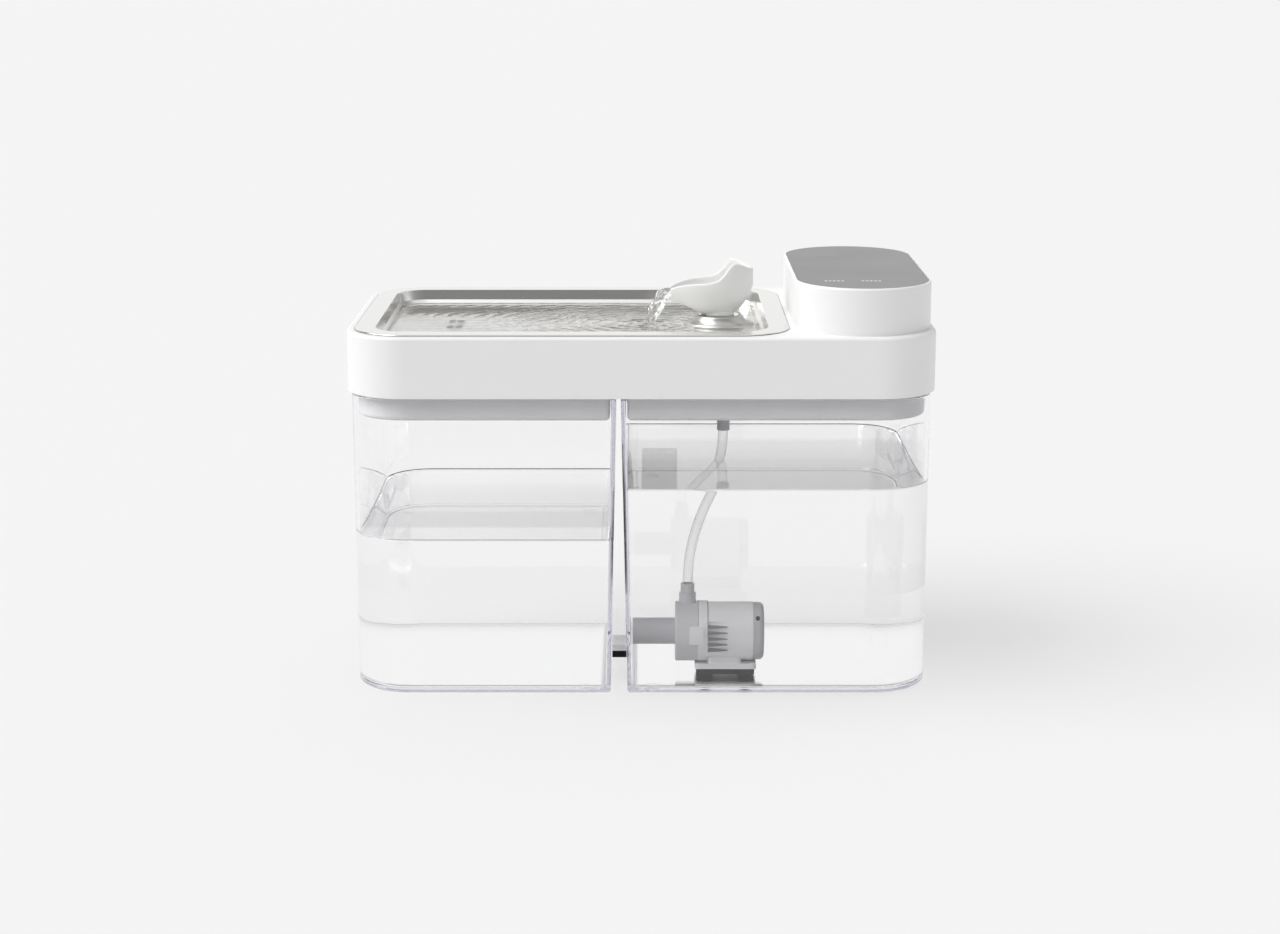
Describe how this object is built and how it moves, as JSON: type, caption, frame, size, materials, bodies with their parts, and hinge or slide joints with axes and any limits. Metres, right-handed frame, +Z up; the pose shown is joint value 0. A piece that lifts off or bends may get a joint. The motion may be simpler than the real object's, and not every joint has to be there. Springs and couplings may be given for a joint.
{
  "type": "pet water fountain",
  "caption": "Pet water fountain: clear twin tanks under a white deck with a steel drinking tray, a bird-shaped spout and a control pod; a pump and hose feed the spout.",
  "frame": {"origin": "middle of the footprint, on the surface that the tanks' feet stand on", "axes": "+X to the right along the long side, towards the control pod; +Y to the back; +Z up"},
  "size_m": [0.34, 0.19, 0.2426],
  "materials": {
    "tank_clear": "clear moulded plastic, polished",
    "pad_clear": "clear soft plastic",
    "link_grey": "moulded plastic, satin",
    "rubber_black": "moulded rubber",
    "shell_white": "moulded plastic, fine satin",
    "collar_grey": "moulded plastic, satin",
    "seal_silicone": "silicone",
    "screw_steel": "plated steel",
    "tray_steel": "pressed stainless steel, polished",
    "spout_white": "moulded plastic, matt",
    "filter_white": "moulded plastic",
    "filter_cotton": "needled cotton pad",
    "filter_carbon": "carbon granules in a net",
    "panel_grey": "printed panel, satin gloss",
    "board_green": "board with solder mask",
    "contact_rubber": "conductive foam",
    "hose_clear": "clear silicone tube",
    "pump_grey": "moulded plastic, satin",
    "pump_dark": "moulded plastic, satin",
    "core_steel": "stacked sheet steel",
    "coil_copper": "enamelled wire",
    "magnet_grey": "ferrite",
    "shaft_ceramic": "ground ceramic",
    "lens_clear": "clear window"
  },
  "bodies": {
    "right_tank": {"right_tank": "tank_clear", "right_tank_feet": "pad_clear", "link_clip": "link_grey", "link_pad": "rubber_black"},
    "left_tank": {"left_tank": "tank_clear", "left_tank_feet": "pad_clear"},
    "deck": {"deck_shell": "shell_white", "base_plate": "collar_grey", "left_collar": "collar_grey", "right_collar": "collar_grey", "left_rim_seal": "seal_silicone", "right_rim_seal": "seal_silicone", "deck_screws": "screw_steel", "riser_pipe": "pump_grey", "pod_shell": "shell_white", "touch_panel": "panel_grey", "control_board": "board_green", "key_contacts": "contact_rubber", "board_screws": "screw_steel", "pod_screws": "screw_steel", "power_inlet": "screw_steel", "inlet_tongue": "contact_rubber", "inlet_board": "board_green", "hose_fitting": "pump_dark", "hose": "hose_clear", "sensor_case": "pump_grey", "sensor_lens": "lens_clear", "pump_volute": "pump_grey", "intake_stub": "pump_dark", "motor_housing": "pump_grey", "pump_o_ring": "rubber_black", "end_cap": "pump_dark", "cap_plug": "rubber_black", "pump_gland": "rubber_black", "stator_core": "core_steel", "stator_coil": "coil_copper", "rotor_shaft": "shaft_ceramic", "front_bush": "contact_rubber", "rear_bush": "contact_rubber", "pump_latches": "pump_grey", "pump_cradle": "pump_grey", "suction_cups": "rubber_black"},
    "filter": {"filter_frame": "filter_white", "filter_lid": "filter_white", "filter_cotton": "filter_cotton", "filter_carbon": "filter_carbon"},
    "tray": {"drinking_tray": "tray_steel"},
    "sleeve": {"spout_sleeve": "spout_white"},
    "spout": {"bird_spout": "spout_white"},
    "rotor": {"impeller": "spout_white", "rotor_magnet": "magnet_grey"}
  },
  "joints": [
    {"name": "left_tank_lift", "type": "slide", "parent": "right_tank", "child": "left_tank", "axis": [0, 0, 1], "range_m": [0, 0.2]},
    {"name": "deck_lift", "type": "slide", "parent": "left_tank", "child": "deck", "axis": [0, 0, 1], "range_m": [0, 0.2]},
    {"name": "filter_lift", "type": "slide", "parent": "deck", "child": "filter", "axis": [0, 0, 1], "range_m": [0, 0.05]},
    {"name": "tray_lift", "type": "slide", "parent": "filter", "child": "tray", "axis": [0, 0, 1], "range_m": [0, 0.06]},
    {"name": "sleeve_lift", "type": "slide", "parent": "tray", "child": "sleeve", "axis": [0, 0, 1], "range_m": [0, 0.03]},
    {"name": "spout_turn", "type": "hinge", "parent": "sleeve", "child": "spout", "pos_m": [0.0466, 0, 0.2103], "axis": [0, 0, 1], "range_deg": [-120, 120]},
    {"name": "rotor_spin", "type": "hinge", "parent": "deck", "child": "rotor", "pos_m": [0.0335, -0.045, 0.0287], "axis": [1, 0, 0], "continuous": true}
  ]
}
